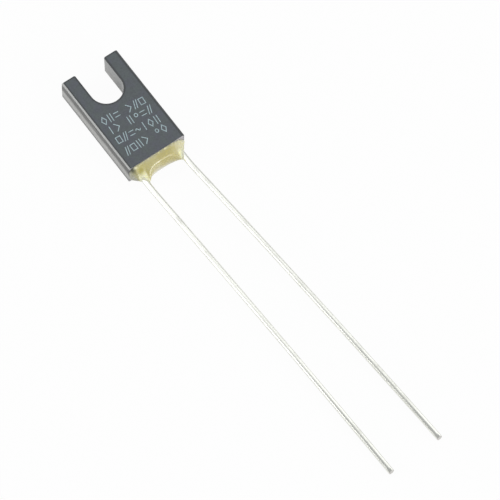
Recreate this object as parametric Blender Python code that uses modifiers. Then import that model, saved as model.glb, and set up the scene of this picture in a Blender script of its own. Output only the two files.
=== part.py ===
"""Thermal fuse with a slotted moulded case, a resin seal and two long tinned leads.

Everything is in metres. +Z is up from the case's underside, +Y points to the slot and the leads
run towards -Y. Each part is modelled from the resin end of the case, and the datum empty
then puts the origin on the underside, at the middle of the face that seats on a heat sink.
"""
import math

import bmesh
import bpy

# Case, moulded in one piece
CASE_LENGTH = 0.0105
CASE_WIDTH = 0.0061          # at the parting line
CASE_THICKNESS = 0.0025
PARTING_HEIGHT = 0.00125     # where the two mould halves meet
WALL_DRAFT = math.radians(0.9)
SIDE_CHAMFER = 0.00015       # along the upper edges of the two long sides
EDGE_BREAK = 0.00006         # along the other edges of the upper and lower faces
CORNER_RADIUS = 0.00006      # upright outer corners

# Screw slot between the prongs
SLOT_WIDTH = 0.0032          # at the parting line, to clear an M3 screw
SLOT_DEPTH = 0.00425
SLOT_MOUTH_RADIUS = 0.00015
SLOT_DRAFT = math.radians(1.3)    # the slot and the tips draw downwards
TIP_DRAFT = math.radians(0.5)

# Cavity, open at the resin end
SIDE_WALL = 0.00045          # at the mouth, on the parting line
FLOOR_WALL = 0.0004          # above and below the cavity
WEB_THICKNESS = 0.0007       # between the blind end and the slot
CAVITY_CORNER_RADIUS = 0.00025
CORE_TAPER = math.radians(0.9)

# Leads, round tinned copper wire
LEAD_DIAMETER = 0.00055
LEAD_TO_WALL = 0.000175      # between a lead and the side wall at the cavity's mouth
LEAD_FREE_LENGTH = 0.0357    # outside the case
LEAD_BEND_LENGTH = 0.0014    # over which a lead turns to its own heading
LEAD_STEP = 0.0013           # spacing of the points along a lead
LEAD_LEFT_SWING = (math.radians(3.2), math.radians(2.0))    # heading past the bend, and at the tip
LEAD_RIGHT_SWING = (math.radians(5.1), math.radians(3.5))

# Fusible link between the inner ends of the leads
LINK_DIAMETER = 0.00062
LINK_END_DIAMETER = 0.00076
LINK_END_LENGTH = 0.0005
LEAD_PAST_LINK = 0.00042     # how far a lead runs on past the link's centre line

# Flux that coats the link and the ends of the leads
FLUX_TO_WALL = 0.00003
FLUX_TO_PLUG = 0.0002
FLUX_SQUARENESS = 3.2

# Resin that seals the open end
PLUG_DEPTH = 0.0019
BEAD_REACH = 0.00094         # out of the case, midway between the leads
BEAD_CLIMB = 0.0015          # out of the case, along each lead
BEAD_EDGE_REACH = 0.00012    # at the bead's outer ends
BEAD_SIDE_MARGIN = 0.00004   # of bare wall at each side of the bead
BEAD_FACE_MARGIN = 0.00003   # above and below the bead
BEAD_FILM = 0.00003          # thickness of the resin round a lead where the bead runs out
BEAD_CLIMB_POWER = 4.2       # how late the outline turns to run up a lead
BEAD_FLANK_POWER = 1.5
BEAD_END_SHARE = 0.6         # of its height that the bead keeps at its outer ends
BEAD_FLARE_WIDTH = 0.0007    # how far from a lead its concave flare is felt
BEAD_RIM = 0.00001           # half-thickness of the outline's edge
BEAD_STATIONS = 15           # from the middle to a lead, and again from the lead to the end
BEAD_RINGS = 12

# Play between parts that are bonded or potted on the real one
BOND_GAP = 0.00002

# How far a cutter runs past what it cuts
CUT_OVERRUN = 0.001

ARC_STEPS = 4
CORNER_STEPS = 2
SLOT_STEPS = 20
BORE_SIDES = 16
TURNED_STEPS = 20

# Places and sizes that follow from the ones above
MID_HEIGHT = CASE_THICKNESS / 2
SEAT_FROM_END = (CASE_LENGTH - SLOT_DEPTH) / 2
CAVITY_WIDTH = CASE_WIDTH - 2 * SIDE_WALL
CAVITY_HEIGHT = CASE_THICKNESS - 2 * FLOOR_WALL
CAVITY_DEPTH = CASE_LENGTH - SLOT_DEPTH - WEB_THICKNESS
LEAD_PLACE = CAVITY_WIDTH / 2 - LEAD_TO_WALL - LEAD_DIAMETER / 2    # to each side of the middle
BEAD_WIDTH = CASE_WIDTH - 2 * BEAD_SIDE_MARGIN
BEAD_HEIGHT = CASE_THICKNESS - 2 * BEAD_FACE_MARGIN


def core_shrink(depth):
    """How far each side of the cavity has come in at a depth from its mouth."""
    return max(depth, 0.0) * math.tan(CORE_TAPER)


FLUX_DIAMETER = CAVITY_HEIGHT - 2 * core_shrink(CAVITY_DEPTH) - 2 * FLUX_TO_WALL
FLUX_LENGTH = CAVITY_WIDTH - 2 * core_shrink(CAVITY_DEPTH) - 2 * FLUX_TO_WALL
LINK_DEPTH = PLUG_DEPTH + FLUX_TO_PLUG + FLUX_DIAMETER / 2


def clear_scene():
    for item in list(bpy.data.objects):
        bpy.data.objects.remove(item, do_unlink=True)


def new_collection(name):
    collection = bpy.data.collections.new(name)
    bpy.context.scene.collection.children.link(collection)
    return collection


def make_material(name, colour, roughness, metallic=0.0):
    material = bpy.data.materials.new(name)
    material.use_nodes = True
    shader = material.node_tree.nodes["Principled BSDF"]
    shader.inputs["Base Color"].default_value = (*colour, 1.0)
    shader.inputs["Roughness"].default_value = roughness
    shader.inputs["Metallic"].default_value = metallic
    material.diffuse_color = (*colour, 1.0)
    return material


def add_object(name, data, collection, datum, material=None):
    item = bpy.data.objects.new(name, data)
    collection.objects.link(item)
    item.parent = datum
    if material:
        data.materials.append(material)
    return item


def mesh_object(name, bm, collection, datum, material=None):
    bmesh.ops.recalc_face_normals(bm, faces=bm.faces)
    mesh = bpy.data.meshes.new(name)
    bm.to_mesh(mesh)
    bm.free()
    mesh.shade_smooth()
    mesh.set_sharp_from_angle(angle=math.radians(35))
    return add_object(name, mesh, collection, datum, material)


def mark_as_cutter(item):
    item.hide_render = True
    item.display_type = "WIRE"
    return item


def boolean(target, cutter, operation):
    modifier = target.modifiers.new(operation.title() + " " + cutter.name, "BOOLEAN")
    modifier.operation = operation
    modifier.solver = "EXACT"
    modifier.object = cutter


def arc(centre, radius, start, end, steps):
    """Points on an arc in the plane, from the start angle to the end angle in degrees."""
    points = []
    for step in range(steps + 1):
        angle = math.radians(start + (end - start) * step / steps)
        points.append((centre[0] + radius * math.cos(angle), centre[1] + radius * math.sin(angle)))
    return points


def loft(bm, sections):
    """Closed body through sections that have the same number of points."""
    rings = [[bm.verts.new(point) for point in section] for section in sections]
    for lower, upper in zip(rings, rings[1:]):
        for index in range(len(lower)):
            after = (index + 1) % len(lower)
            bm.faces.new((lower[index], lower[after], upper[after], upper[index]))
    bm.faces.new(rings[0])
    bm.faces.new(rings[-1])


def rounded_rectangle(width, height, radius):
    """Outline round the origin, anticlockwise."""
    x, z = width / 2 - radius, height / 2 - radius
    corners = (((x, z), 0), ((-x, z), 90), ((-x, -z), 180), ((x, -z), 270))
    outline = []
    for centre, start in corners:
        outline += arc(centre, radius, start, start + 90, ARC_STEPS)
    return outline


def fork_outline(side_inset, tip_inset, slot_inset):
    """Plan of the case, with its side, tip and slot walls moved into the material."""
    slot_radius = SLOT_WIDTH / 2 + slot_inset
    slot_centre = CASE_LENGTH - SLOT_DEPTH + SLOT_WIDTH / 2
    side = CASE_WIDTH / 2 - side_inset
    tip = CASE_LENGTH - tip_inset
    mouth = SLOT_MOUTH_RADIUS
    right = arc((side - CORNER_RADIUS, CORNER_RADIUS), CORNER_RADIUS, -90, 0, CORNER_STEPS)
    right += arc((side - CORNER_RADIUS, tip - CORNER_RADIUS), CORNER_RADIUS, 0, 90, CORNER_STEPS)
    right += arc((slot_radius + mouth, tip - mouth), mouth, 90, 180, ARC_STEPS)
    slot = arc((0.0, slot_centre), slot_radius, 0, -180, SLOT_STEPS)
    left = [(-x, y) for x, y in reversed(right)]
    return right + slot + left


def wall_profile():
    """Height, and insets of the side, tip and slot walls, from the underside to the upper face."""
    edges = [(0.0, EDGE_BREAK, EDGE_BREAK), (EDGE_BREAK, 0.0, 0.0), (PARTING_HEIGHT, 0.0, 0.0)]
    edges += [(CASE_THICKNESS - SIDE_CHAMFER, 0.0, 0.0)]
    edges += [(CASE_THICKNESS - EDGE_BREAK, SIDE_CHAMFER - EDGE_BREAK, 0.0)]
    edges += [(CASE_THICKNESS, SIDE_CHAMFER, EDGE_BREAK)]
    profile = []
    for height, side_edge, fork_edge in edges:
        side_inset = side_edge + abs(height - PARTING_HEIGHT) * math.tan(WALL_DRAFT)
        tip_inset = fork_edge + (CASE_THICKNESS - height) * math.tan(TIP_DRAFT)
        slot_inset = fork_edge + (PARTING_HEIGHT - height) * math.tan(SLOT_DRAFT)
        profile.append((height, side_inset, tip_inset, slot_inset))
    return profile


def make_case(parts, cutters, datum, material):
    bm = bmesh.new()
    loft(bm, [[(x, y, height) for x, y in fork_outline(*insets)] for height, *insets in wall_profile()])
    case = mesh_object("case", bm, parts, datum, material)

    shoulder = CAVITY_DEPTH - CAVITY_CORNER_RADIUS / 2
    stations = [(-CUT_OVERRUN, 0.0), (0.0, 0.0), (shoulder, core_shrink(shoulder))]
    stations += [(CAVITY_DEPTH, core_shrink(shoulder) + CAVITY_CORNER_RADIUS / 2)]
    bm = bmesh.new()
    sections = []
    for y, shrink in stations:
        outline = rounded_rectangle(CAVITY_WIDTH - 2 * shrink, CAVITY_HEIGHT - 2 * shrink, CAVITY_CORNER_RADIUS)
        sections.append([(x, y, MID_HEIGHT + z) for x, z in outline])
    loft(bm, sections)
    cavity = mark_as_cutter(mesh_object("cavity_core", bm, cutters, datum))
    boolean(case, cavity, "DIFFERENCE")
    return case


def lead_route(side, swing):
    """Centre line of a lead, from its inner end to its tip on the table."""
    radius = LEAD_DIAMETER / 2
    x = side * LEAD_PLACE
    z = MID_HEIGHT
    bent_length = LEAD_FREE_LENGTH - BEAD_CLIMB
    dip = math.asin((z - radius) / (bent_length - LEAD_BEND_LENGTH / 2))
    points = [(x, LINK_DEPTH + LEAD_PAST_LINK, z), (x, 0.0, z), (x, -BEAD_CLIMB, z)]
    y = -BEAD_CLIMB
    steps = round(bent_length / LEAD_STEP)
    step = bent_length / steps
    for index in range(steps):
        along = (index + 0.5) * step
        turned = min(1.0, along / LEAD_BEND_LENGTH)
        heading = turned * (swing[0] + (swing[1] - swing[0]) * along / bent_length)
        pitch = turned * dip
        x += step * math.sin(heading) * math.cos(pitch)
        y -= step * math.cos(heading) * math.cos(pitch)
        z -= step * math.sin(pitch)
        points.append((x, y, max(z, radius)))
    return points


def make_lead(name, side, swing, parts, datum, material):
    curve = bpy.data.curves.new(name, "CURVE")
    curve.dimensions = "3D"
    curve.bevel_depth = LEAD_DIAMETER / 2
    curve.bevel_resolution = 6
    curve.use_fill_caps = True
    route = lead_route(side, swing)
    spline = curve.splines.new("POLY")
    spline.points.add(len(route) - 1)
    for point, place in zip(spline.points, route):
        point.co = (*place, 1.0)
    return add_object(name, curve, parts, datum, material)


def make_lead_bore(name, side, collection, datum):
    """Cutter for the straight stretch of a lead, with the bond gap all round and past its end."""
    start = -BEAD_CLIMB - CUT_OVERRUN
    end = LINK_DEPTH + LEAD_PAST_LINK + BOND_GAP
    bm = bmesh.new()
    outline = arc((side * LEAD_PLACE, MID_HEIGHT), LEAD_DIAMETER / 2 + BOND_GAP, 0, 360, BORE_SIDES)
    loft(bm, [[(x, y, z) for x, z in outline[:-1]] for y in (start, end)])
    return mark_as_cutter(mesh_object(name, bm, collection, datum))


def turned_object(name, profile, collection, datum, material=None):
    """Body turned about the line that joins the leads' inner ends; profile is (along, radius)."""
    bm = bmesh.new()
    verts = [bm.verts.new((radius, 0.0, along)) for along, radius in reversed(profile)]
    for first, second in zip(verts, verts[1:]):
        bm.edges.new((first, second))
    mesh = bpy.data.meshes.new(name)
    bm.to_mesh(mesh)
    bm.free()
    item = add_object(name, mesh, collection, datum, material)
    item.location = (0.0, LINK_DEPTH, MID_HEIGHT)
    item.rotation_euler = (0.0, math.pi / 2, 0.0)
    screw = item.modifiers.new("Turn", "SCREW")
    screw.steps = TURNED_STEPS
    screw.render_steps = TURNED_STEPS
    screw.use_merge_vertices = True
    screw.merge_threshold = 0.000001
    screw.use_smooth_shade = True
    return item


def link_profile(grow):
    """Half-lengths and radii of the link, a wire that thickens where it meets each lead."""
    end = LEAD_PLACE - LEAD_DIAMETER / 2 - BOND_GAP + grow
    shoulder = end - grow - LINK_END_LENGTH
    thin = LINK_DIAMETER / 2 + grow
    thick = LINK_END_DIAMETER / 2 + grow
    half = [(end, 0.0), (end, thick * 0.86), (end - 0.2 * LINK_END_LENGTH, thick)]
    half += [(end - 0.5 * LINK_END_LENGTH, thick), (shoulder, thin)]
    return [(-along, radius) for along, radius in half] + list(reversed(half))


def make_link(parts, datum, material):
    return turned_object("fusible_alloy", link_profile(0.0), parts, datum, material)


def make_flux(parts, cutters, datum, material, bores):
    half_length = FLUX_LENGTH / 2
    profile = []
    for along, radius in arc((0.0, 0.0), 1.0, 180, 0, 18):
        squared = 2.0 / FLUX_SQUARENESS
        x = math.copysign(abs(along) ** squared, along) * half_length
        profile.append((x, abs(radius) ** squared * FLUX_DIAMETER / 2))
    profile[0] = (-half_length, 0.0)
    profile[-1] = (half_length, 0.0)
    flux = turned_object("flux", profile, parts, datum, material)
    hollow = mark_as_cutter(turned_object("link_hollow", link_profile(BOND_GAP), cutters, datum))
    boolean(flux, hollow, "DIFFERENCE")
    for bore in bores:
        boolean(flux, bore, "DIFFERENCE")
    return flux


def bead_reach(x):
    """How far the resin stands out of the case at a place across its width."""
    sleeve = LEAD_DIAMETER / 2 + BOND_GAP + BEAD_FILM
    across = abs(x)
    if across < LEAD_PLACE - sleeve:
        rise = (across / (LEAD_PLACE - sleeve)) ** BEAD_CLIMB_POWER
        return BEAD_REACH + (BEAD_CLIMB - BEAD_REACH) * rise
    if across <= LEAD_PLACE + sleeve:
        return BEAD_CLIMB
    fall = (BEAD_WIDTH / 2 - across) / (BEAD_WIDTH / 2 - LEAD_PLACE - sleeve)
    return BEAD_EDGE_REACH + (BEAD_CLIMB - BEAD_EDGE_REACH) * max(fall, 0.0) ** BEAD_FLANK_POWER


def bead_height(x, share):
    """Half-height of the resin at x, at a share of its reach from the case to its outline."""
    sleeve = LEAD_DIAMETER / 2 + BOND_GAP + BEAD_FILM
    off_lead = abs(abs(x) - LEAD_PLACE)
    nearness = math.exp(-(off_lead / BEAD_FLARE_WIDTH) ** 2)
    edge = min(1.0, abs(x) / (BEAD_WIDTH / 2))
    mouth = BEAD_HEIGHT / 2 * (1.0 - (1.0 - BEAD_END_SHARE) * edge ** 24)
    round_nose = (1.0 - share ** 1.9) ** 0.55
    hollow_flare = (1.0 - share ** 1.3) ** 1.6
    body = mouth * (round_nose * (1.0 - nearness) + hollow_flare * nearness)
    coat = math.sqrt(max(sleeve ** 2 - off_lead ** 2, 0.0))
    return (body ** 4 + coat ** 4) ** 0.25


def bead_stations():
    """Places across the right half of the bead, closer together near the lead."""
    half = BEAD_WIDTH / 2
    inner = [LEAD_PLACE * math.sin(math.pi / 2 * step / BEAD_STATIONS) for step in range(BEAD_STATIONS)]
    outer = []
    for step in range(BEAD_STATIONS):
        outer.append(half - (half - LEAD_PLACE) * math.cos(math.pi / 2 * step / (BEAD_STATIONS - 1)))
    return inner + outer


def make_resin(parts, cutters, datum, material, bores):
    stations = bead_stations()
    places = [-x for x in reversed(stations[1:])] + stations
    sections = []
    for x in places:
        reach = bead_reach(x)
        upper = []
        for ring in range(BEAD_RINGS + 1):
            share = math.sin(math.pi / 2 * ring / BEAD_RINGS)
            height = max(bead_height(x, share), BEAD_RIM)
            upper.append((x, -BOND_GAP - share * (reach - BOND_GAP), height))
        lower = [(x, y, -height) for x, y, height in reversed(upper)]
        sections.append([(x, y, MID_HEIGHT + z) for x, y, z in upper + lower])
    bm = bmesh.new()
    loft(bm, sections)
    resin = mesh_object("sealing_resin", bm, parts, datum, material)

    bm = bmesh.new()
    width = CAVITY_WIDTH - 2 * BOND_GAP
    height = CAVITY_HEIGHT - 2 * BOND_GAP
    sections = []
    for y in (-BEAD_EDGE_REACH / 2, 0.0, PLUG_DEPTH):
        shrink = 2 * core_shrink(y)
        outline = rounded_rectangle(width - shrink, height - shrink, CAVITY_CORNER_RADIUS - BOND_GAP)
        sections.append([(x, y, MID_HEIGHT + z) for x, z in outline])
    loft(bm, sections)
    plug = mark_as_cutter(mesh_object("resin_plug", bm, cutters, datum))
    boolean(resin, plug, "UNION")
    for bore in bores:
        boolean(resin, bore, "DIFFERENCE")
    return resin


def main():
    clear_scene()
    parts = new_collection("Thermal fuse")
    cutters = new_collection("Cutters")
    datum = bpy.data.objects.new("datum", None)
    parts.objects.link(datum)
    datum.location = (0.0, -SEAT_FROM_END, 0.0)

    moulding = make_material("moulding", (0.055, 0.060, 0.064), 0.55)
    resin = make_material("resin", (0.52, 0.46, 0.17), 0.15)
    tinned = make_material("tinned wire", (0.78, 0.77, 0.74), 0.25, 1.0)
    alloy = make_material("fusible alloy", (0.55, 0.56, 0.58), 0.35, 1.0)
    flux = make_material("flux", (0.62, 0.45, 0.16), 0.3)

    make_case(parts, cutters, datum, moulding)
    bores = [make_lead_bore("lead_bore_left", -1, cutters, datum)]
    bores.append(make_lead_bore("lead_bore_right", 1, cutters, datum))
    make_lead("lead_left", -1, LEAD_LEFT_SWING, parts, datum, tinned)
    make_lead("lead_right", 1, LEAD_RIGHT_SWING, parts, datum, tinned)
    make_link(parts, datum, alloy)
    make_flux(parts, cutters, datum, flux, bores)
    make_resin(parts, cutters, datum, resin, bores)


main()
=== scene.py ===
import math

import bmesh
import bpy
from mathutils import Matrix, Vector, noise


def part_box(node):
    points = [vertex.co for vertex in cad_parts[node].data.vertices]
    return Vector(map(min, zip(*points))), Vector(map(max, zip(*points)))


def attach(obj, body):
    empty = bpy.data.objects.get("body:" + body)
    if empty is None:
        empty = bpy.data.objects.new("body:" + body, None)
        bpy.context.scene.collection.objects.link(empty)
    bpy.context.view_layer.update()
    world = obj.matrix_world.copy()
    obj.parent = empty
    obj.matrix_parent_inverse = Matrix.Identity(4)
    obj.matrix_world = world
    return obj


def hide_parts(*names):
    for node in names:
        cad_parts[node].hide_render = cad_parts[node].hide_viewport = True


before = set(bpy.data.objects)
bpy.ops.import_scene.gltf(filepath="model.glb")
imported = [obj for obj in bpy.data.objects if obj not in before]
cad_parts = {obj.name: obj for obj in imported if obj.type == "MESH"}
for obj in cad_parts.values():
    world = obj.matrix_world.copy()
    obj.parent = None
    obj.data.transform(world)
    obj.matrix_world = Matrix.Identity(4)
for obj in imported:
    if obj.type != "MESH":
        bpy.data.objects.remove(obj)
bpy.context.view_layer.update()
mm = 0.001
print("frame loaded:", ", ".join(sorted(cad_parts)))


# Shader nodes written as expressions

class Signal:    # an output socket that Python's operators work on
    def __init__(self, sheet, socket):
        self.sheet = sheet
        self.socket = socket

    def maths(self, operation, *values):
        return self.sheet.node("Math", {"operation": operation}, dict(enumerate(values)))

    def __add__(self, other):
        return self.maths("ADD", self, other)

    def __radd__(self, other):
        return self.maths("ADD", other, self)

    def __sub__(self, other):
        return self.maths("SUBTRACT", self, other)

    def __rsub__(self, other):
        return self.maths("SUBTRACT", other, self)

    def __mul__(self, other):
        return self.maths("MULTIPLY", self, other)

    def __rmul__(self, other):
        return self.maths("MULTIPLY", other, self)

    def __abs__(self):
        return self.maths("ABSOLUTE", self)


class Sheet:    # the node sheet of a material or of the world
    def __init__(self, owner):
        self.owner = owner
        owner.use_nodes = True
        self.tree = owner.node_tree
        self.tree.nodes.clear()

    def node(self, kind, settings=None, inputs=None, output=0):
        made = self.tree.nodes.new("ShaderNode" + kind)
        for key, value in (settings or {}).items():
            setattr(made, key, value)
        for key, value in (inputs or {}).items():
            if isinstance(value, Signal):
                self.tree.links.new(value.socket, made.inputs[key])
            else:
                made.inputs[key].default_value = value
        return Signal(self, made.outputs[output])

    def blend(self, share, first, second):
        return self.node("Mix", {"data_type": "RGBA"}, {0: share, 6: first, 7: second}, 2)

    def least(self, *values):
        lowest = values[0]
        for value in values[1:]:
            lowest = self.node("Math", {"operation": "MINIMUM"}, {0: lowest, 1: value})
        return lowest

    def most(self, first, second):
        return self.node("Math", {"operation": "MAXIMUM"}, {0: first, 1: second})

    def root(self, value):
        return self.node("Math", {"operation": "SQRT"}, {0: value})

    def fade(self, value, start, end):    # 0 at start, 1 at end, smooth between them
        ends = {"Value": value, "From Min": start, "From Max": end}
        return self.node("MapRange", {"interpolation_type": "SMOOTHSTEP"}, ends)

    def place(self):    # where a point lies on the part
        return self.node("TexCoord", output="Object")

    def axes(self, vector):
        split = self.node("SeparateXYZ", None, {"Vector": vector})
        return [Signal(self, socket) for socket in split.socket.node.outputs]

    def stretch(self, vector, scales):
        return self.node("VectorMath", {"operation": "MULTIPLY"}, {0: vector, 1: scales})

    def grain(self, vector, size, detail, roughness, distortion=0.0):
        look = {"Vector": vector, "Scale": 1 / size, "Detail": detail,
                "Roughness": roughness, "Distortion": distortion}
        return self.node("TexNoise", {"noise_dimensions": "3D"}, look, "Fac")

    def bump(self, height, depth, strength):
        return self.node("Bump", None, {"Height": height, "Distance": depth, "Strength": strength})

    def finish(self, shader, output="OutputMaterial"):
        end = self.tree.nodes.new("ShaderNode" + output)
        self.tree.links.new(shader.socket, end.inputs["Surface"])
        return self.owner


def newSheet(name):
    return Sheet(bpy.data.materials.new(name))


def seen(red, green, blue):    # a colour as a screen shows it, from 0 to 255
    def linear(value):
        value /= 255
        return value / 12.92 if value <= 0.04045 else ((value + 0.055) / 1.055) ** 2.4
    return (linear(red), linear(green), linear(blue), 1.0)


# Camera

cameraSettings = {
    "target": Vector((1.570, -15.098, 1.0)) * mm,
    "distance": 259.35 * mm,
    "azimuth": math.radians(41.55),
    "elevation": math.radians(65.84),
    "roll": 0.10037,
    "lens": 211.34,
    "sensor": 36.0,
    "clip": (0.01, 20.0),
}


def makeCamera(settings):
    azimuth, elevation = settings["azimuth"], settings["elevation"]
    back = Vector((-math.sin(azimuth) * math.cos(elevation),
                   -math.cos(azimuth) * math.cos(elevation),
                   math.sin(elevation)))
    levelRight = Vector((0, 0, 1)).cross(back).normalized()
    levelUp = back.cross(levelRight)
    turn = settings["roll"]
    right = levelRight * math.cos(turn) + levelUp * math.sin(turn)
    up = back.cross(right)
    data = bpy.data.cameras.new("camera")
    data.lens = settings["lens"]
    data.sensor_width = settings["sensor"]
    data.clip_start, data.clip_end = settings["clip"]
    camera = bpy.data.objects.new("camera", data)
    turned = Matrix((right, up, back)).transposed().to_4x4()
    camera.matrix_world = Matrix.Translation(settings["target"] + back * settings["distance"]) @ turned
    bpy.context.scene.collection.objects.link(camera)
    bpy.context.scene.camera = camera


# Floor, world and lamps

studio = {
    "floorSize": 3.0,
    "floorDrop": 0.01 * mm,
    "floorColour": (0.86, 0.86, 0.855, 1.0),
    "floorGlow": 0.95,     # share of the floor seen as plain white, where the rest keeps the shadow
    "floorGloss": 0.85,    # share of that glow that a glossy ray sees
    "skyLevel": 0.46,
    "skyGloss": 0.08,      # share of the step from skyLevel up to white that a glossy ray sees
    "skyColour": (0.97, 0.985, 1.0, 1.0),
    "lamps": {    # the leads see the left and back ones near the case only, the right one near their tips
        "left_softbox": {"from": (-0.385, 0.20, 0.117), "to": (0, 0.20, 0),
                         "size": (0.32, 0.14), "power": 0.57},
        "right_softbox": {"from": (0.34, -0.08, 0.17), "to": (0, -0.08, 0),
                          "size": (0.34, 0.24), "power": 0.27},
        "back_softbox": {"from": (-0.225, 0.23, 0.39), "to": (0, 0.23, 0),
                         "size": (0.30, 0.48), "power": 0.45},
        "front_softbox": {"from": (0.088, -0.414, 0.154), "to": (0, 0, 0),
                          "size": (0.26, 0.09), "power": 0.80},
        "top_softbox": {"from": (0.19, 0.17, 0.48), "to": (0, 0, 0),
                        "size": (0.40, 0.36), "power": 0.33},
    },
}


def seenDirectly(sheet, gloss):    # 1 for a ray from the camera or a clear body, and gloss for a glossy one
    names = ("Is Camera Ray", "Is Transmission Ray", "Is Glossy Ray")
    rays = [sheet.node("LightPath", output=name) for name in names]
    return sheet.most(sheet.most(rays[0], rays[1]), rays[2] * gloss)


def makeStudio(settings):
    bm = bmesh.new()
    bmesh.ops.create_grid(bm, x_segments=1, y_segments=1, size=settings["floorSize"] / 2)
    mesh = bpy.data.meshes.new("floor")
    bm.to_mesh(mesh)
    bm.free()
    floor = bpy.data.objects.new("floor", mesh)
    floor.location.z = -settings["floorDrop"]
    bpy.context.scene.collection.objects.link(floor)

    sheet = newSheet("white table")
    table = sheet.node("BsdfDiffuse", None, {"Color": settings["floorColour"]})
    glow = sheet.node("Emission", None, {"Color": (1.0, 1.0, 1.0, 1.0), "Strength": 1.0})
    share = seenDirectly(sheet, settings["floorGloss"]) * settings["floorGlow"]
    mesh.materials.append(sheet.finish(sheet.node("MixShader", None, {0: share, 1: table, 2: glow})))

    world = bpy.data.worlds.new("studio")
    bpy.context.scene.world = world
    sheet = Sheet(world)
    level = settings["skyLevel"] + seenDirectly(sheet, settings["skyGloss"]) * (1 - settings["skyLevel"])
    sky = sheet.node("Background", None, {"Color": settings["skyColour"], "Strength": level})
    sheet.finish(sky, "OutputWorld")

    for name, lamp in settings["lamps"].items():
        data = bpy.data.lights.new(name, "AREA")
        data.shape = "RECTANGLE"
        data.size, data.size_y = lamp["size"]
        data.energy = lamp["power"]
        box = bpy.data.objects.new(name, data)
        box.location = lamp["from"]
        heading = Vector(lamp["to"]) - Vector(lamp["from"])
        box.rotation_euler = heading.to_track_quat("-Z", "Y").to_euler()
        bpy.context.scene.collection.objects.link(box)

    bpy.context.scene.view_settings.view_transform = "Standard"


# Mesh helpers

def arc(centre, radius, start, end, steps):
    points = []
    for step in range(steps + 1):
        angle = math.radians(start + (end - start) * step / steps)
        points.append((centre[0] + radius * math.cos(angle), centre[1] + radius * math.sin(angle)))
    return points


def circle(centre, radius, sides):
    return arc(centre, radius, 0, 360 * (sides - 1) / sides, sides - 1)


def loft(bm, sections):
    rings = [[bm.verts.new(point) for point in section] for section in sections]
    for lower, upper in zip(rings, rings[1:]):
        for index in range(len(lower)):
            after = (index + 1) % len(lower)
            bm.faces.new((lower[index], lower[after], upper[after], upper[index]))
    bm.faces.new(rings[0])
    bm.faces.new(rings[-1])


def meshPiece(name, bm, sharpAngle=35):
    bmesh.ops.recalc_face_normals(bm, faces=bm.faces)
    mesh = bpy.data.meshes.new(name)
    bm.to_mesh(mesh)
    bm.free()
    mesh.shade_smooth()
    mesh.set_sharp_from_angle(angle=math.radians(sharpAngle))
    piece = bpy.data.objects.new(name, mesh)
    bpy.context.scene.collection.objects.link(piece)
    return piece


def carve(piece, tool, operation, sharpAngle=35):    # the tool is used up
    modifier = piece.modifiers.new(operation.title(), "BOOLEAN")
    modifier.operation = operation
    modifier.solver = "EXACT"
    modifier.object = tool
    bpy.context.view_layer.update()
    result = bpy.data.meshes.new_from_object(piece.evaluated_get(bpy.context.evaluated_depsgraph_get()))
    piece.modifiers.remove(modifier)
    piece.data = result
    result.shade_smooth()
    result.set_sharp_from_angle(angle=math.radians(sharpAngle))
    bpy.data.objects.remove(tool)


def weightNormals(piece):    # large flats keep their own normal beside small fillets
    modifier = piece.modifiers.new("Weighted normals", "WEIGHTED_NORMAL")
    modifier.weight = 100
    modifier.keep_sharp = True


def rest(piece, node=None):
    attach(piece, "root")
    if node:
        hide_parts(node)


def roundedBox(width, height, radius, steps):
    x, z = width / 2 - radius, height / 2 - radius
    outline = []
    for centre, start in (((x, z), 0), ((-x, z), 90), ((-x, -z), 180), ((x, -z), 270)):
        outline += arc(centre, radius, start, start + 90, steps)
    return outline


# Case

caseLow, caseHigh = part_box("case")
resinEnd = caseLow.y
slotEnd = caseHigh.y
middle = (caseLow.z + caseHigh.z) / 2
inkRelief = 0.004 * mm           # of the ink over the printed face

caseSettings = {
    "width": caseHigh.x - caseLow.x,
    "thickness": caseHigh.z - caseLow.z - inkRelief,
    "partingHeight": 1.25 * mm,
    "draft": math.radians(0.9),
    "chamfer": 0.15 * mm,        # along the upper edges of the long sides
    "chamferRounding": 0.03 * mm,
    "edgeBreak": 0.06 * mm,
    "edgeSteps": 5,
    "cornerRadius": 0.06 * mm,
    "cornerSteps": 5,
    "slotWidth": 3.2 * mm,
    "slotDepth": 4.25 * mm,
    "mouthRadius": 0.15 * mm,
    "mouthSteps": 7,
    "slotDraft": math.radians(1.3),    # the slot and the tips draw downwards
    "tipDraft": math.radians(0.5),
    "slotSteps": 60,
    "seamWidth": 0.05 * mm,      # half the witness line where the mould halves meet
    "seamProud": 0.008 * mm,
    "seamFlat": 0.25,            # share of it, from the middle out, that stands fully proud
    "rimWidth": 0.25 * mm,       # flat ring inside the edge radius
    "cavityWidth": 5.2 * mm,
    "cavityHeight": 1.7 * mm,
    "cavityDepth": 5.55 * mm,
    "cavityCorner": 0.25 * mm,
    "cavitySteps": 6,
    "coreTaper": math.radians(0.9),
    "pinWidth": 0.9 * mm,        # marks of the ejector pins on the underside
    "pinDepth": 0.02 * mm,
    "pinSides": 48,
    "pinPlaces": ((2.30, 5.9), (-2.30, 5.9), (0.0, -1.6)),
}

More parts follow.
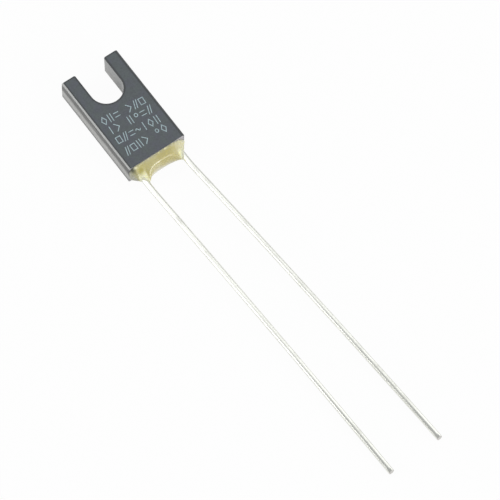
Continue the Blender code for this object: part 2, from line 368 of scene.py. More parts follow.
# Most likely one dark grey plastic: the lighter walls hold the light that they catch in the photo
mouldingLook = {
    "top": seen(81, 89, 90),
    "topDark": seen(73, 78, 81),
    "topBlue": seen(81, 85, 94),
    # painted shade: a dark line along the edges of the printed face and along the top edges of the walls
    "rim": seen(54, 58, 60),
    "bevelHighlight": seen(173, 174, 172),       # painted highlight on the chamfer of the left side, where the light catches it
    "upperWallShade": seen(70, 70, 68),      # painted shade on the outer sides, above the parting line
    # painted reflection: the outer sides, below the parting line, much lighter than the printed face
    "lowerWallReflection": seen(170, 170, 167),
    "footWallShade": seen(104, 104, 103),    # painted shade, down by the underside
    # painted light on the slot walls, lighter than the printed face
    "slotWallLight": seen(160, 161, 160),
    "slotFootLight": seen(162, 162, 160),
    # painted reflection in light streaks along the walls
    "wallStreakReflection": seen(190, 190, 187),
    # painted light: the end face at the leads, lighter than the printed face
    "endFaceLight": seen(167, 163, 167),
    # painted shade down the side corners of the end face
    "endCornerShade": seen(104, 104, 106),
    "roughness": 0.40,
    "mottleRoughness": 0.12,
    "speckRoughness": 0.10,
    "refraction": 1.53,
    "clouds": (0.9 * mm, 2.0, 0.5),     # each grain's size, detail and roughness
    "mottle": (0.16 * mm, 3.0, 0.6),
    "specks": (0.045 * mm, 2.0, 0.5),
    "streaks": (0.16 * mm, 3.0, 0.6),
    "streakStretch": (0.05, 0.05, 1.0),
    "streakShare": 0.45,
    "skinDepth": 0.006 * mm,
    "skinStrength": 0.15,
    "skinSpecks": 0.6,
    "skinMottle": 0.4,
    "rimFade": (0.08 * mm, 0.22 * mm),      # in from the edges of the printed face
    "uprightFade": (0.15, 0.60),            # by the tilt of the surface
    "slopeFade": (0.30, 0.50),
    "flatFade": (0.88, 0.98),
    "sideFade": (0.20 * mm, 0.30 * mm),     # in from the long sides
    "leftFade": (-0.5 * mm, 0.5 * mm),
    "endFade": (0.0, 0.03 * mm),            # in from the lead end
    "blueFade": (0.35, 0.65),
    "darkFade": (0.35, 0.75),
    "levelSway": 0.35 * mm,                 # of the bands along the walls
    "footFade": (0.05 * mm, 0.80 * mm),
    "upperFade": (1.15 * mm, 1.75 * mm),
    "slotFade": (0.5 * mm, 1.5 * mm),
    "streakFade": (0.50, 0.75),
    "topEdgeFade": (2.34 * mm, 2.46 * mm),
    "endSideFade": (2.90 * mm, 2.98 * mm),
    "endHeightFade": (0.9 * mm, 1.3 * mm),
}


def forkOutline(sideInset, tipInset, slotInset):
    s = caseSettings
    slotRadius = s["slotWidth"] / 2 + slotInset
    slotCentre = slotEnd - s["slotDepth"] + s["slotWidth"] / 2
    side = s["width"] / 2 - sideInset
    low, tip = resinEnd, slotEnd - tipInset
    corner, mouth = s["cornerRadius"], s["mouthRadius"]
    right = arc((side - corner, low + corner), corner, -90, 0, s["cornerSteps"])
    right += arc((side - corner, tip - corner), corner, 0, 90, s["cornerSteps"])
    right += arc((slotRadius + mouth, tip - mouth), mouth, 90, 180, s["mouthSteps"])
    slot = arc((0.0, slotCentre), slotRadius, 0, -180, s["slotSteps"])
    left = [(-x, y) for x, y in reversed(right)]
    return right + slot + left


def roundedBend(before, corner, after, radius, steps):    # a corner of the section, rounded off
    corner = Vector(corner)
    first = corner + (Vector(before) - corner).normalized() * radius
    last = corner + (Vector(after) - corner).normalized() * radius
    points = []
    for step in range(steps + 1):
        share = step / steps
        points.append(first.lerp(corner, share).lerp(corner.lerp(last, share), share))
    return points


def caseProfile():    # height, and insets of the side, tip and slot walls, up to the printed face
    s = caseSettings
    top, parting, chamfer, small = s["thickness"], s["partingHeight"], s["chamfer"], s["edgeBreak"]
    soft, steps = s["chamferRounding"], s["edgeSteps"]
    inner = chamfer + s["rimWidth"]
    flush, flat = s["seamProud"], s["seamFlat"]
    side = [Vector((0.0, inner))]
    side += roundedBend((0.0, inner), (0.0, flush), (parting, flush), small, steps)
    for offset, inset in ((-1.0, flush), (-flat, 0.0), (flat, 0.0), (1.0, flush)):
        side.append(Vector((parting + offset * s["seamWidth"], inset)))
    side += roundedBend((parting, flush), (top - chamfer, flush), (top, chamfer), soft, steps)
    side += roundedBend((top - chamfer, flush), (top, chamfer), (top, inner), soft, steps)
    side.append(Vector((top, inner)))
    profile = []
    for height, inset in side:
        toFace = min(height, top - height)
        edge = small - math.sqrt(small ** 2 - max(small - toFace, 0.0) ** 2) if toFace > 0.0 else inset
        sideInset = inset + abs(height - parting) * math.tan(s["draft"])
        tipInset = edge + (top - height) * math.tan(s["tipDraft"])
        slotInset = edge + (parting - height) * math.tan(s["slotDraft"])
        profile.append((height, sideInset, tipInset, slotInset))
    return profile


def makeCase():
    s = caseSettings
    bm = bmesh.new()
    floor = caseLow.z
    loft(bm, [[(x, y, floor + z) for x, y in forkOutline(*insets)] for z, *insets in caseProfile()])
    case = meshPiece("moulded_case", bm)

    bm = bmesh.new()
    sections = []
    shoulder = s["cavityDepth"] - s["cavityCorner"] / 2
    overrun = 1.0 * mm
    for depth in (-overrun, 0.0, shoulder, s["cavityDepth"]):
        shrink = max(depth, 0.0) * math.tan(s["coreTaper"]) + max(depth - shoulder, 0.0)
        wide, tall = s["cavityWidth"] - 2 * shrink, s["cavityHeight"] - 2 * shrink
        outline = roundedBox(wide, tall, s["cavityCorner"], s["cavitySteps"])
        sections.append([(x, resinEnd + depth, middle + z) for x, z in outline])
    loft(bm, sections)
    carve(case, meshPiece("core", bm), "DIFFERENCE")

    bm = bmesh.new()
    for x, y in s["pinPlaces"]:
        rim = circle((0.0, 0.0), s["pinWidth"] / 2, s["pinSides"])
        disc = [(x * mm + dx, y * mm + dy) for dx, dy in rim]
        loft(bm, [[(px, py, floor + z) for px, py in disc] for z in (-s["pinDepth"], s["pinDepth"])])
    carve(case, meshPiece("ejector_pins", bm), "DIFFERENCE")
    weightNormals(case)
    rest(case, "case")
    return case


def mouldingMaterial(look):
    s = caseSettings
    sheet = newSheet("satin grey moulding")
    place = sheet.place()
    x, y, z = sheet.axes(place)
    slotRadius = s["slotWidth"] / 2
    slotCentre = slotEnd - s["slotDepth"] + slotRadius
    beforeSlot = sheet.most(slotCentre - y, 0.0)
    toSlot = sheet.root(x * x + beforeSlot * beforeSlot) - slotRadius
    toSide = s["width"] / 2 - abs(x)
    toEdge = sheet.least(toSide - s["chamfer"], slotEnd - y, toSlot)
    # painted shade along the edges of the printed face
    rim = 1 - sheet.fade(toEdge, *look["rimFade"])

    tilt = sheet.axes(sheet.node("NewGeometry", output="True Normal"))[2]
    upright = 1 - sheet.fade(abs(tilt), *look["uprightFade"])
    outerSide = 1 - sheet.fade(toSide, *look["sideFade"])
    sloped = sheet.fade(tilt, *look["slopeFade"]) * (1 - sheet.fade(tilt, *look["flatFade"]))
    # painted highlight, on the left chamfer only
    bevelHighlight = sloped * outerSide * (1 - sheet.fade(x, *look["leftFade"]))
    cutEnd = 1 - sheet.fade(y - resinEnd, *look["endFade"])

    clouds = sheet.grain(place, *look["clouds"])
    mottle = sheet.grain(place, *look["mottle"])
    specks = sheet.grain(place, *look["specks"])
    streaks = sheet.grain(sheet.stretch(place, look["streakStretch"]), *look["streaks"])

    face = sheet.blend(sheet.fade(clouds, *look["blueFade"]), look["top"], look["topBlue"])
    face = sheet.blend(sheet.fade(mottle, *look["darkFade"]), face, look["topDark"])
    face = sheet.blend(rim, face, look["rim"])

    # painted light and shade in bands along the walls: shade low down and above the parting line, reflection
    # between
    level = z + (clouds - 0.5) * look["levelSway"]
    side = sheet.blend(sheet.fade(level, *look["footFade"]), look["footWallShade"], look["lowerWallReflection"])
    side = sheet.blend(sheet.fade(level, *look["upperFade"]), side, look["upperWallShade"])
    slot = sheet.blend(sheet.fade(level, *look["slotFade"]), look["slotFootLight"], look["slotWallLight"])
    wall = sheet.blend(outerSide, slot, side)
    # painted reflection in light streaks along the walls
    reflectionStreaks = sheet.fade(streaks, *look["streakFade"]) * look["streakShare"]
    wall = sheet.blend(reflectionStreaks, wall, look["wallStreakReflection"])
    # painted shade along the top edges of the walls
    wall = sheet.blend(sheet.fade(z, *look["topEdgeFade"]), wall, look["rim"])
    # painted light on the end face at the leads, with painted shade down its side corners
    paintedCornerShade = sheet.fade(abs(x), *look["endSideFade"]) * sheet.fade(z, *look["endHeightFade"])
    wall = sheet.blend(cutEnd, wall, sheet.blend(paintedCornerShade, look["endFaceLight"], look["endCornerShade"]))
    colour = sheet.blend(upright, sheet.blend(bevelHighlight, face, look["bevelHighlight"]), wall)

    rough = look["roughness"] + (mottle - 0.5) * look["mottleRoughness"]
    rough = rough + (specks - 0.5) * look["speckRoughness"]
    skin = specks * look["skinSpecks"] + mottle * look["skinMottle"]
    shader = sheet.node("BsdfPrincipled", None, {
        "Base Color": colour,
        "Roughness": rough,
        "IOR": look["refraction"],
        "Normal": sheet.bump(skin, look["skinDepth"], look["skinStrength"]),
    })
    return sheet.finish(shader)


# Leads

leadSettings = {
    "diameter": 0.55 * mm,
    "place": 2.15 * mm,          # of each lead, to the side of the middle
    "resinClimb": 1.5 * mm,
    "freeLength": 35.7 * mm,
    "bendLength": 1.4 * mm,
    "innerEnd": 3.265 * mm,      # how far a lead runs on inside the case
    "step": 0.25 * mm,
    "sides": 48,
    "swing": {"left": (3.2, 2.0), "right": (5.1, 3.5)},    # heading past the bend and at the tip, in degrees
    "pinchLength": 0.30 * mm,    # over which the cutters squeezed the tip
    "pinch": 0.10,
    "cutSlant": 0.18,
    "tipRounding": 0.03 * mm,
    "sharpAngle": 50,
}

tinLook = {
    "bright": (0.86, 0.865, 0.81, 1.0),
    "dull": (0.59, 0.595, 0.54, 1.0),
    "warm": (0.80, 0.80, 0.66, 1.0),
    "cut": seen(196, 194, 189),
    "roughness": 0.24,
    "dullRoughness": 0.12,
    "wornPolish": 0.08,
    "lineRoughness": 0.06,
    "lines": (0.12, 3.0, 0.6),   # the drawing lines' size, as a share of the radius, detail and roughness
    "lineStretch": (1.0, 1.0, 0.02),
    "lineDepth": 0.003 * mm,
    "lineStrength": 0.03,
    "patches": (2.2 * mm, 3.0, 0.6),
    "fine": (2.2 * mm / 12, 2.0, 0.5),
    "dullFade": (0.48, 0.72),
    "dullShare": 0.4,
    "tipPolishAndShadeFade": (0.0, 26.0),     # millimetres from the tip
    "tipShadeShare": 0.2,
    "warmFade": (0.55, 0.8),
    "warmShare": 0.15,
    "cutFade": (0.03, 0.12),     # millimetres from the tip
    "cutMetallic": 0.3,
}


def leadRoute(side, swing):
    s = leadSettings
    radius = s["diameter"] / 2
    x, y, z = side * s["place"], resinEnd - s["resinClimb"], middle
    bent = s["freeLength"] - s["resinClimb"]
    dip = math.asin((z - radius) / (bent - s["bendLength"] / 2))
    straight = s["innerEnd"] + s["resinClimb"]
    count = round(straight / s["step"])
    points = [Vector((x, y + straight * (1 - index / count), z)) for index in range(count + 1)]
    steps = round(bent / s["step"])
    step = bent / steps
    for index in range(steps):
        along = (index + 0.5) * step
        turned = min(1.0, along / s["bendLength"])
        heading = turned * math.radians(swing[0] + (swing[1] - swing[0]) * along / bent)
        pitch = turned * dip
        x += step * math.sin(heading) * math.cos(pitch)
        y -= step * math.cos(heading) * math.cos(pitch)
        z -= step * math.sin(pitch)
        points.append(Vector((x, y, max(z, radius))))
    return points


def makeLead(name, node, side, swing):
    s = leadSettings
    points = leadRoute(side, swing)
    radius, sides = s["diameter"] / 2, s["sides"]
    bm = bmesh.new()
    drawn = bm.verts.layers.float_vector.new("drawn")
    tipAway = bm.verts.layers.float.new("tipAway")
    total = s["freeLength"] + s["innerEnd"]
    along, rings = 0.0, []

    def addRing(centre, forward, size, squeeze, slant, far):
        acrossWire = forward.cross(Vector((0, 0, 1))).normalized()
        upWire = acrossWire.cross(forward)
        ring = []
        for index in range(sides):
            angle = 2 * math.pi * index / sides
            dx, dz = math.cos(angle), math.sin(angle)
            shift = acrossWire * dx * size * (1 + squeeze / 2) + upWire * dz * size * (1 - squeeze)
            vert = bm.verts.new(centre + shift - forward * slant * (1 + dz) * size)
            vert[drawn] = (dx, dz, far / mm)
            vert[tipAway] = (total - far) / mm
            ring.append(vert)
        rings.append(ring)

    for index, point in enumerate(points):
        before, after = points[max(index - 1, 0)], points[min(index + 1, len(points) - 1)]
        forward = (after - before).normalized()
        if index:
            along += (point - points[index - 1]).length
        left = max(0.0, 1 - (total - along) / s["pinchLength"])
        last = index in (0, len(points) - 1)
        size = radius - (s["tipRounding"] if last else 0.0)
        addRing(point, forward, size, s["pinch"] * left ** 2, s["cutSlant"] * left ** 2, along)
    for lower, upper in zip(rings, rings[1:]):
        for index in range(sides):
            after = (index + 1) % sides
            bm.faces.new((lower[index], lower[after], upper[after], upper[index]))
    bm.faces.new(rings[0])
    bm.faces.new(rings[-1])
    lead = meshPiece(name, bm, s["sharpAngle"])
    rest(lead, node)
    return lead


def tinMaterial(look):
    sheet = newSheet("bright tinned wire")
    drawn = sheet.node("Attribute", {"attribute_name": "drawn"}, None, "Vector")
    tipAway = sheet.node("Attribute", {"attribute_name": "tipAway"}, None, "Fac")
    lines = sheet.grain(sheet.stretch(drawn, look["lineStretch"]), *look["lines"])
    place = sheet.place()
    patches = sheet.grain(place, *look["patches"])
    fine = sheet.grain(place, *look["fine"])
    dull = sheet.fade(patches, *look["dullFade"])
    # painted shade: darker colour towards the tip; the lower roughness there is polish
    tipPolishAndShade = 1 - sheet.fade(tipAway, *look["tipPolishAndShadeFade"])    # more so towards the tip
    drawnSide = sheet.fade(tipAway, *look["cutFade"])    # all but the cut end
    share = dull * look["dullShare"] + tipPolishAndShade * look["tipShadeShare"]
    colour = sheet.blend(share, look["bright"], look["dull"])
    colour = sheet.blend(sheet.fade(fine, *look["warmFade"]) * look["warmShare"], colour, look["warm"])
    colour = sheet.blend(1 - drawnSide, colour, look["cut"])
    rough = look["roughness"] + dull * look["dullRoughness"] - tipPolishAndShade * look["wornPolish"]
    shader = sheet.node("BsdfPrincipled", None, {
        "Base Color": colour,
        "Metallic": drawnSide * (1 - look["cutMetallic"]) + look["cutMetallic"],
        "Roughness": rough + (lines - 0.5) * look["lineRoughness"],
        "Normal": sheet.bump(lines, look["lineDepth"], look["lineStrength"]),
    })
    return sheet.finish(shader)


# Resin seal

sealSettings = {
    "halfWidth": 3.01 * mm,
    "height": 2.44 * mm,
    "reach": 0.94 * mm,          # out of the case, midway between the leads
    "climbInside": {"left": 1.62 * mm, "right": 1.46 * mm},
    "climbOutside": {"left": 1.12 * mm, "right": 0.82 * mm},
    "edgeReach": 0.14 * mm,
    "film": 0.03 * mm,
    "climbPower": 3.2,
    "flankPower": {"left": 0.9, "right": 1.4},
    "endShare": {"left": 0.50, "right": 0.10},    # of its height that the seal keeps at its ends
    "endPower": {"left": 24, "right": 6.5},
    "slope": 0.30,               # of its upper side, down to the ridge at the front
    "flareWidth": 0.70 * mm,
    "nosePower": 8,
    "flareRise": 1.3,
    "flareFall": 1.6,
    "coatPower": 4,              # how tightly the resin's body and its coat on a lead join
    "rim": 0.006 * mm,
    "stations": 40,
    "rings": 26,
    "rootDepth": 0.3 * mm,       # that the poured body runs on into the case before it is trimmed
    "trimDepth": 1.0 * mm,
    "trimGrowth": 1.2,
    "trimCorner": 0.1 * mm,
    "sharpAngle": 60,
    "voxel": 0.028 * mm,
    "smoothing": 6,
    "wobble": 0.010 * mm,        # unevenness of the poured surface
    "wobbleSize": 0.8 * mm,
    "plugDepth": 1.9 * mm,
    "gap": 0.02 * mm,
    "boreGap": 0.004 * mm,
    "boreReach": 3 * mm,
    "boreSides": 48,
}

# A dense casting, so what shows through the clear resin in the photo is in its colour
resinLook = {
    "deep": seen(183, 174, 99),
    "clear": seen(192, 182, 123),
    "pale": seen(216, 211, 174),
    "haze": seen(210, 203, 156),
    # grey where the resin is thin at the left, partly painted shade on its lower flank
    "film": seen(166, 165, 146),
    "shade": seen(80, 82, 64),
    # painted reflection of the bright lead under a thin coat, also the colour of the painted glints on the
    # brim
    "sleeve": seen(252, 249, 206),
    "brim": seen(186, 182, 150),
    # painted reflection of the floor on the low front of the resin
    "lowFrontReflection": seen(205, 202, 186),
    "roughness": 0.34,
    "swirlRoughness": 0.06,
    "refraction": 1.54,
    "swirl": (0.9 * mm, 2.0, 0.5, 0.6),    # size, detail, roughness and distortion
    "swirlDepth": 0.02 * mm,
    "swirlStrength": 0.3,
    "brimGlints": (0.35 * mm, 2.0, 0.5),
    "bubbleSize": 0.16 * mm,
    "bubbleFade": (0.10, 0.20),
    "bubbleShare": 0.10,
    "scatter": 0.4,
    "scatterColours": (1.0, 0.9, 0.5),
    "scatterDepth": 0.4 * mm,
    "coatRoughness": 0.20,
    "driftSway": 1.2 * mm,
    "deepFade": (-2.1 * mm, -0.4 * mm),    # from the left lead towards the middle
    "hazeFadeIn": (-1.9 * mm, -1.2 * mm),
    "hazeFadeOut": (-0.7 * mm, 0.1 * mm),
    "hazeShare": 0.35,
    "paleFade": (1.2 * mm, 2.4 * mm),
    "brimFadeOut": (0.05 * mm, 0.30 * mm),
    "brimHeightFade": (1.6 * mm, 2.2 * mm),
    "brimShare": 0.7,
    "fleckFade": (0.5, 0.7),
    "footHeightFade": (0.8 * mm, 1.6 * mm),
    "footShare": 0.6,
    "filmLean": 0.4,
    "filmFade": (-2.40 * mm, -1.35 * mm),
    "shadeHeightFade": (1.80 * mm, 2.30 * mm),
    "shadeFadeOut": (-2.75 * mm, -2.35 * mm),
    "sleeveWidthFade": (0.25 * mm, 0.50 * mm),
    "sleeveReachFade": (0.50 * mm, 0.95 * mm),
    "sleeveShare": 0.95,
    "coatFadeIn": (-2.0 * mm, -1.7 * mm),
    "coatFadeOut": (-0.4 * mm, 0.2 * mm),
    "coatDrop": 0.95,
}


def sealReach(x):
    s = sealSettings
    side = "left" if x < 0 else "right"
    sleeve = leadSettings["diameter"] / 2 + s["film"]
    place, across = leadSettings["place"], abs(x)
    inside, outside = s["climbInside"][side], s["climbOutside"][side]
    if across < place - sleeve:
        return s["reach"] + (inside - s["reach"]) * (across / (place - sleeve)) ** s["climbPower"]
    if across <= place + sleeve:
        share = (across - place + sleeve) / (2 * sleeve)
        return inside + (outside - inside) * (1 - math.cos(math.pi * share)) / 2
    fall = (s["halfWidth"] - across) / (s["halfWidth"] - place - sleeve)
    return s["edgeReach"] + (outside - s["edgeReach"]) * max(fall, 0.0) ** s["flankPower"][side]


def sealHeight(x, share):    # half-height of the resin at a share of its reach
    s = sealSettings
    sleeve = leadSettings["diameter"] / 2 + s["film"]
    offLead = abs(abs(x) - leadSettings["place"])
    nearness = math.exp(-(offLead / s["flareWidth"]) ** 2)
    edge = min(1.0, abs(x) / s["halfWidth"])
    side = "left" if x < 0 else "right"
    mouth = s["height"] / 2 * (1 - (1 - s["endShare"][side]) * edge ** s["endPower"][side])
    roundNose = (1 - s["slope"] * share) * (1 - share ** s["nosePower"]) ** 0.5
    hollowFlare = (1 - share ** s["flareRise"]) ** s["flareFall"]
    body = mouth * (roundNose * (1 - nearness) + hollowFlare * nearness)
    coat = math.sqrt(max(sleeve ** 2 - offLead ** 2, 0.0))
    return (body ** s["coatPower"] + coat ** s["coatPower"]) ** (1 / s["coatPower"])


def makeSeal():
    s = sealSettings
    place, count = leadSettings["place"], s["stations"]
    inner = [place * math.sin(math.pi / 2 * step / count) for step in range(count)]
    width = s["halfWidth"] - place
    outer = [place + width * (1 - math.cos(math.pi / 2 * step / (count - 1))) for step in range(count)]
    stations = inner + outer
    sections = []
    for x in [-x for x in reversed(stations[1:])] + stations:
        reach = sealReach(x)
        halves = {1: [], -1: []}
        for ring in range(s["rings"] + 1):
            share = math.sin(math.pi / 2 * ring / s["rings"])
            for side, half in halves.items():
                half.append((x, -share * reach, side * max(sealHeight(x, share), s["rim"])))
        root = [(x, s["rootDepth"], side * halves[1][0][2]) for side in (1, -1)]
        sections.append([root[0]] + halves[1] + list(reversed(halves[-1])) + [root[1]])
    bm = bmesh.new()
    loft(bm, [[Vector(point) / mm for point in section] for section in sections])    # grown for the remesh
    seal = meshPiece("resin_seal", bm, s["sharpAngle"])

    remesh = seal.modifiers.new("Remesh", "REMESH")
    remesh.mode = "VOXEL"
    remesh.voxel_size = s["voxel"] / mm
    smooth = seal.modifiers.new("Smooth", "SMOOTH")
    smooth.iterations = s["smoothing"]
    bpy.context.view_layer.update()
    poured = bpy.data.meshes.new_from_object(seal.evaluated_get(bpy.context.evaluated_depsgraph_get()))
    seal.modifiers.clear()
    seal.data = poured
    for vert in poured.vertices:
        point = Vector(vert.co)
        sway = noise.noise(point * mm / s["wobbleSize"]) * s["wobble"]
        vert.co = (point.x * mm, resinEnd + point.y * mm + sway, middle + point.z * mm)

    bm = bmesh.new()
    wide, tall = caseSettings["width"], caseSettings["thickness"]
    outline = roundedBox(wide * s["trimGrowth"], tall * s["trimGrowth"], s["trimCorner"], 2)
    loft(bm, [[(x, resinEnd + y, middle + z) for x, z in outline] for y in (-s["gap"], s["trimDepth"])])
    carve(seal, meshPiece("case_end", bm), "DIFFERENCE", s["sharpAngle"])

    bm = bmesh.new()
    sections = []
    c = caseSettings
    for depth in (-s["edgeReach"] / 2, 0.0, s["plugDepth"]):
        shrink = s["gap"] + max(depth, 0.0) * math.tan(c["coreTaper"])
        wide, tall = c["cavityWidth"] - 2 * shrink, c["cavityHeight"] - 2 * shrink
        outline = roundedBox(wide, tall, c["cavityCorner"] - s["gap"], c["cavitySteps"])
        sections.append([(x, resinEnd + depth, middle + z) for x, z in outline])
    loft(bm, sections)
    carve(seal, meshPiece("plug", bm), "UNION", s["sharpAngle"])

    bm = bmesh.new()
    boreRadius = leadSettings["diameter"] / 2 + s["boreGap"]
    for side in (-1, 1):
        disc = circle((side * place, middle), boreRadius, s["boreSides"])
        ends = (resinEnd - s["boreReach"], resinEnd + s["boreReach"])
        loft(bm, [[(x, y, z) for x, z in disc] for y in ends])
    carve(seal, meshPiece("lead_bores", bm), "DIFFERENCE", s["sharpAngle"])
    rest(seal, "sealing_resin")
    return seal


def resinMaterial(look):
    sheet = newSheet("poured yellow resin")
    place = sheet.place()
    x, y, z = sheet.axes(place)
    swirl = sheet.grain(place, *look["swirl"])
    drift = x + (swirl - 0.5) * look["driftSway"]
    colour = sheet.blend(sheet.fade(drift, *look["deepFade"]), look["deep"], look["clear"])
    haze = sheet.fade(drift, *look["hazeFadeIn"]) * (1 - sheet.fade(drift, *look["hazeFadeOut"]))
    colour = sheet.blend(haze * look["hazeShare"], colour, look["haze"])
    # paler at the right, where the resin is thin: partly its own colour, partly painted light coming through
    # from the floor
    colour = sheet.blend(sheet.fade(drift, *look["paleFade"]), colour, look["pale"])

    reach = resinEnd - y    # out of the case
    brim = (1 - sheet.fade(reach, *look["brimFadeOut"])) * sheet.fade(z, *look["brimHeightFade"])
    # painted glints: bright flecks on the brim
    brimGlints = sheet.grain(place, *look["brimGlints"])
    brimWithGlints = sheet.blend(sheet.fade(brimGlints, *look["fleckFade"]), look["brim"], look["sleeve"])
    colour = sheet.blend(brim * look["brimShare"], colour, brimWithGlints)
    # painted reflection of the floor, pale on the low front of the resin
    lowFrontReflection = (1 - sheet.fade(z, *look["footHeightFade"])) * look["footShare"]
    colour = sheet.blend(lowFrontReflection, colour, look["lowFrontReflection"])

    # thin and grey at the left, most so low down, where the grey is partly painted shade; painted shade over
    # its upper part, with the dark mouth of the case behind it
    film = 1 - sheet.fade(x + z * look["filmLean"], *look["filmFade"])
    colour = sheet.blend(film, colour, look["film"])
    shade = sheet.fade(z, *look["shadeHeightFade"]) * (1 - sheet.fade(x, *look["shadeFadeOut"]))
    colour = sheet.blend(shade, colour, look["shade"])

    # painted reflection: pale where the resin is a thin coat on the bright lead
    besideLead = 1 - sheet.fade(abs(abs(x) - leadSettings["place"]), *look["sleeveWidthFade"])
    sleeve = besideLead * sheet.fade(reach, *look["sleeveReachFade"])    # a thin coat on the bright lead
    colour = sheet.blend(sleeve * look["sleeveShare"], colour, look["sleeve"])
    cells = {"Vector": place, "Scale": 1 / look["bubbleSize"]}
    bubbles = sheet.node("TexVoronoi", {"feature": "F1"}, cells)
    bubbly = (1 - sheet.fade(bubbles, *look["bubbleFade"])) * look["bubbleShare"]
    colour = sheet.blend(bubbly, colour, look["pale"])

    matt = sheet.fade(x, *look["coatFadeOut"]) * look["coatDrop"]
    shader = sheet.node("BsdfPrincipled", None, {
        "Base Color": colour,
        "Roughness": look["roughness"] + (swirl - 0.5) * look["swirlRoughness"],
        "IOR": look["refraction"],
        "Subsurface Weight": look["scatter"],
        "Subsurface Radius": look["scatterColours"],
        "Subsurface Scale": look["scatterDepth"],
        "Coat Weight": sheet.fade(x, *look["coatFadeIn"]) * (1 - matt),
        "Coat Roughness": look["coatRoughness"],
        "Normal": sheet.bump(swirl, look["swirlDepth"], look["swirlStrength"]),
    })
    return sheet.finish(shader)


# Ink marks, plain shapes in four rows

printSettings = {
    "rows": (
        {"start": (-2.42, 1.72), "end": (2.15, 1.38),
         "marks": ("diamond", "bars", "dashes", "", "chevron", "slants", "square")},
        {"start": (-2.44, 0.61), "end": (2.24, 0.29),
         "marks": ("bar", "chevron", "", "bars", "ring", "dashes", "slants")},
        {"start": (-2.38, -0.57), "end": (2.20, -0.89),
         "marks": ("square", "slants", "dashes", "wave", "bar", "diamond", "bars")},
        {"start": (-2.36, -1.92), "end": (2.22, -1.94),
         "marks": ("slants", "square", "bars", "chevron", "", "ring", "diamond")},
    ),
    "height": 0.80 * mm,
    "fill": 0.70,                # of its cell's width that a mark takes
    "stroke": 0.075 * mm,
    "sink": 0.002 * mm,
    "capSteps": 6,
    "mitreLimit": 0.35,
}

waveLine = [(step / 12, 0.5 + 0.16 * math.sin(2 * math.pi * step / 12)) for step in range(13)]
ringLine = [(0.5 + 0.32 * x, 0.68 + 0.22 * y) for x, y in circle((0.0, 0.0), 1.0, 24)]

# Each mark is a list of strokes: the points in its cell, and whether the stroke closes on itself
markShapes = {
    "bar": [([(0.5, 0.0), (0.5, 1.0)], False)],
    "bars": [([(0.2, 0.0), (0.2, 1.0)], False), ([(0.8, 0.0), (0.8, 1.0)], False)],
    "dashes": [([(0.0, 0.25), (1.0, 0.25)], False), ([(0.0, 0.75), (1.0, 0.75)], False)],
    "slants": [([(0.0, 0.0), (0.5, 1.0)], False), ([(0.5, 0.0), (1.0, 1.0)], False)],
    "chevron": [([(0.1, 0.0), (0.9, 0.5), (0.1, 1.0)], False)],
    "diamond": [([(0.5, 0.0), (1.0, 0.5), (0.5, 1.0), (0.0, 0.5)], True)],
    "square": [([(0.0, 0.1), (1.0, 0.1), (1.0, 0.9), (0.0, 0.9)], True)],
    "ring": [(ringLine, True)],
    "wave": [(waveLine, False)],
}

inkLook = {
    "full": seen(172, 192, 197),
    "thin": seen(120, 138, 142),
    "grain": (0.12 * mm, 3.0, 0.65),
    "thinFade": (0.45, 0.75),
    "roughness": 0.55,
    "grainRoughness": 0.2,
    "grainDepth": 0.004 * mm,
    "grainStrength": 0.4,
}


def shifted(points, closed, offset):    # the line moved sideways, with mitred corners
    moved, count = [], len(points)
    for index, point in enumerate(points):
        before = points[index - 1] if closed or index else None
        after = points[(index + 1) % count] if closed or index < count - 1 else None
        inward = (point - before).normalized() if before is not None else None
        outward = (after - point).normalized() if after is not None else None
        inward = inward or outward
        outward = outward or inward
        bisector = (inward + outward).normalized()
        normal = Vector((-bisector.y, bisector.x))
        reach = offset / max(printSettings["mitreLimit"], normal.dot(Vector((-inward.y, inward.x))))
        moved.append(point + normal * reach)
    return moved


def strokeOutline(points, half, steps):    # round-ended ribbon about an open line
    def cap(centre, direction):
        start = math.degrees(math.atan2(direction.y, direction.x)) + 90
        return [Vector(p) for p in arc(centre, half, start, start - 180, steps)][1:-1]
    leftSide = shifted(points, False, half)
    rightSide = shifted(points, False, -half)
    ahead = points[-1] - points[-2]
    behind = points[0] - points[1]
    return leftSide + cap(points[-1], ahead) + list(reversed(rightSide)) + cap(points[0], behind)


def makePrint():
    s = printSettings
    high = caseHigh.z
    low = high - inkRelief - s["sink"]
    bm = bmesh.new()

    def at(points, z):
        return [bm.verts.new((p.x, p.y, z)) for p in points]

    def wall(first, second):
        for index in range(len(first)):
            after = (index + 1) % len(first)
            bm.faces.new((first[index], first[after], second[after], second[index]))

    for row in s["rows"]:
        start, end = Vector(row["start"]) * mm, Vector(row["end"]) * mm
        direction = (end - start).normalized()
        upward = Vector((-direction.y, direction.x))
        cell = (end - start).length / len(row["marks"])
        for number, mark in enumerate(row["marks"]):
            corner = start + direction * cell * (number + (1 - s["fill"]) / 2)
            for line, closed in markShapes.get(mark, []):
                points = []
                for u, v in line:
                    points.append(corner + direction * u * cell * s["fill"] + upward * v * s["height"])
                if closed:
                    outer = shifted(points, True, -s["stroke"] / 2)
                    inner = shifted(points, True, s["stroke"] / 2)
                    rings = [at(outer, low), at(outer, high), at(inner, high), at(inner, low)]
                    for first, second in zip(rings, rings[1:] + rings[:1]):
                        wall(first, second)
                else:
                    outline = strokeOutline(points, s["stroke"] / 2, s["capSteps"])
                    loft(bm, [[(p.x, p.y, z) for p in outline] for z in (low, high)])
    ink = meshPiece("ink_marks", bm)
    rest(ink)
    return ink


def inkMaterial(look):
    sheet = newSheet("pale marking ink")
    patchy = sheet.grain(sheet.place(), *look["grain"])
    shader = sheet.node("BsdfPrincipled", None, {
        "Base Color": sheet.blend(sheet.fade(patchy, *look["thinFade"]), look["full"], look["thin"]),
        "Roughness": look["roughness"] + (patchy - 0.5) * look["grainRoughness"],
        "Normal": sheet.bump(patchy, look["grainDepth"], look["grainStrength"]),
    })
    return sheet.finish(shader)


# Link and flux, sealed inside

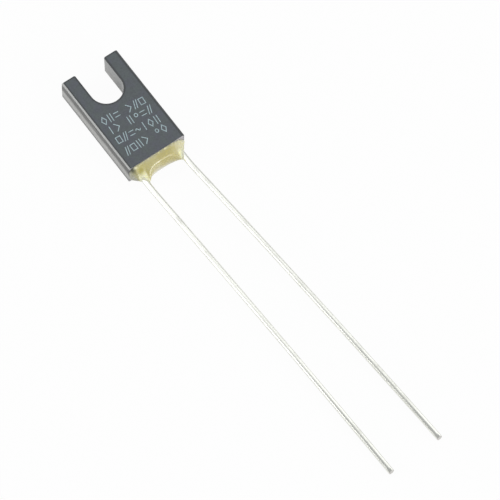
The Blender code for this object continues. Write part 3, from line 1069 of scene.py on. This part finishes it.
alloyLook = {
    "bright": (0.60, 0.61, 0.63, 1.0),
    "dull": (0.38, 0.39, 0.41, 1.0),
    "crystals": (0.25 * mm, 4.0, 0.6),
    "dullFade": (0.4, 0.7),
    "roughness": 0.32,
    "dullRoughness": 0.2,
    "depth": 0.01 * mm,
    "strength": 0.4,
}

fluxLook = {
    "clear": seen(206, 170, 96),
    "deep": seen(168, 116, 48),
    "cloud": (0.5 * mm, 3.0, 0.6, 0.4),
    "deepFade": (0.35, 0.7),
    "roughness": 0.18,
    "cloudRoughness": 0.15,
    "scatter": 0.4,
    "scatterColours": (1.0, 0.6, 0.2),
    "scatterDepth": 0.5 * mm,
    "depth": 0.02 * mm,
    "strength": 0.3,
}


def alloyMaterial(look):
    sheet = newSheet("dull fusible alloy")
    crystals = sheet.grain(sheet.place(), *look["crystals"])
    dull = sheet.fade(crystals, *look["dullFade"])
    shader = sheet.node("BsdfPrincipled", None, {
        "Base Color": sheet.blend(dull, look["bright"], look["dull"]),
        "Metallic": 1.0,
        "Roughness": look["roughness"] + dull * look["dullRoughness"],
        "Normal": sheet.bump(crystals, look["depth"], look["strength"]),
    })
    return sheet.finish(shader)


def fluxMaterial(look):
    sheet = newSheet("amber rosin flux")
    cloud = sheet.grain(sheet.place(), *look["cloud"])
    shader = sheet.node("BsdfPrincipled", None, {
        "Base Color": sheet.blend(sheet.fade(cloud, *look["deepFade"]), look["clear"], look["deep"]),
        "Roughness": look["roughness"] + cloud * look["cloudRoughness"],
        "Subsurface Weight": look["scatter"],
        "Subsurface Radius": look["scatterColours"],
        "Subsurface Scale": look["scatterDepth"],
        "Normal": sheet.bump(cloud, look["depth"], look["strength"]),
    })
    return sheet.finish(shader)


def dress(piece, material):
    piece.data.materials.clear()
    piece.data.materials.append(material)


makeCamera(cameraSettings)
makeStudio(studio)
print("camera and studio done")

dress(makeCase(), mouldingMaterial(mouldingLook))
print("case done")

tin = tinMaterial(tinLook)
dress(makeLead("tinned_lead_left", "lead_left", -1, leadSettings["swing"]["left"]), tin)
dress(makeLead("tinned_lead_right", "lead_right", 1, leadSettings["swing"]["right"]), tin)
print("leads done")

dress(makeSeal(), resinMaterial(resinLook))
print("resin seal done")

dress(makePrint(), inkMaterial(inkLook))
dress(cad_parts["fusible_alloy"], alloyMaterial(alloyLook))
dress(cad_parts["flux"], fluxMaterial(fluxLook))
print("print, link and flux done")
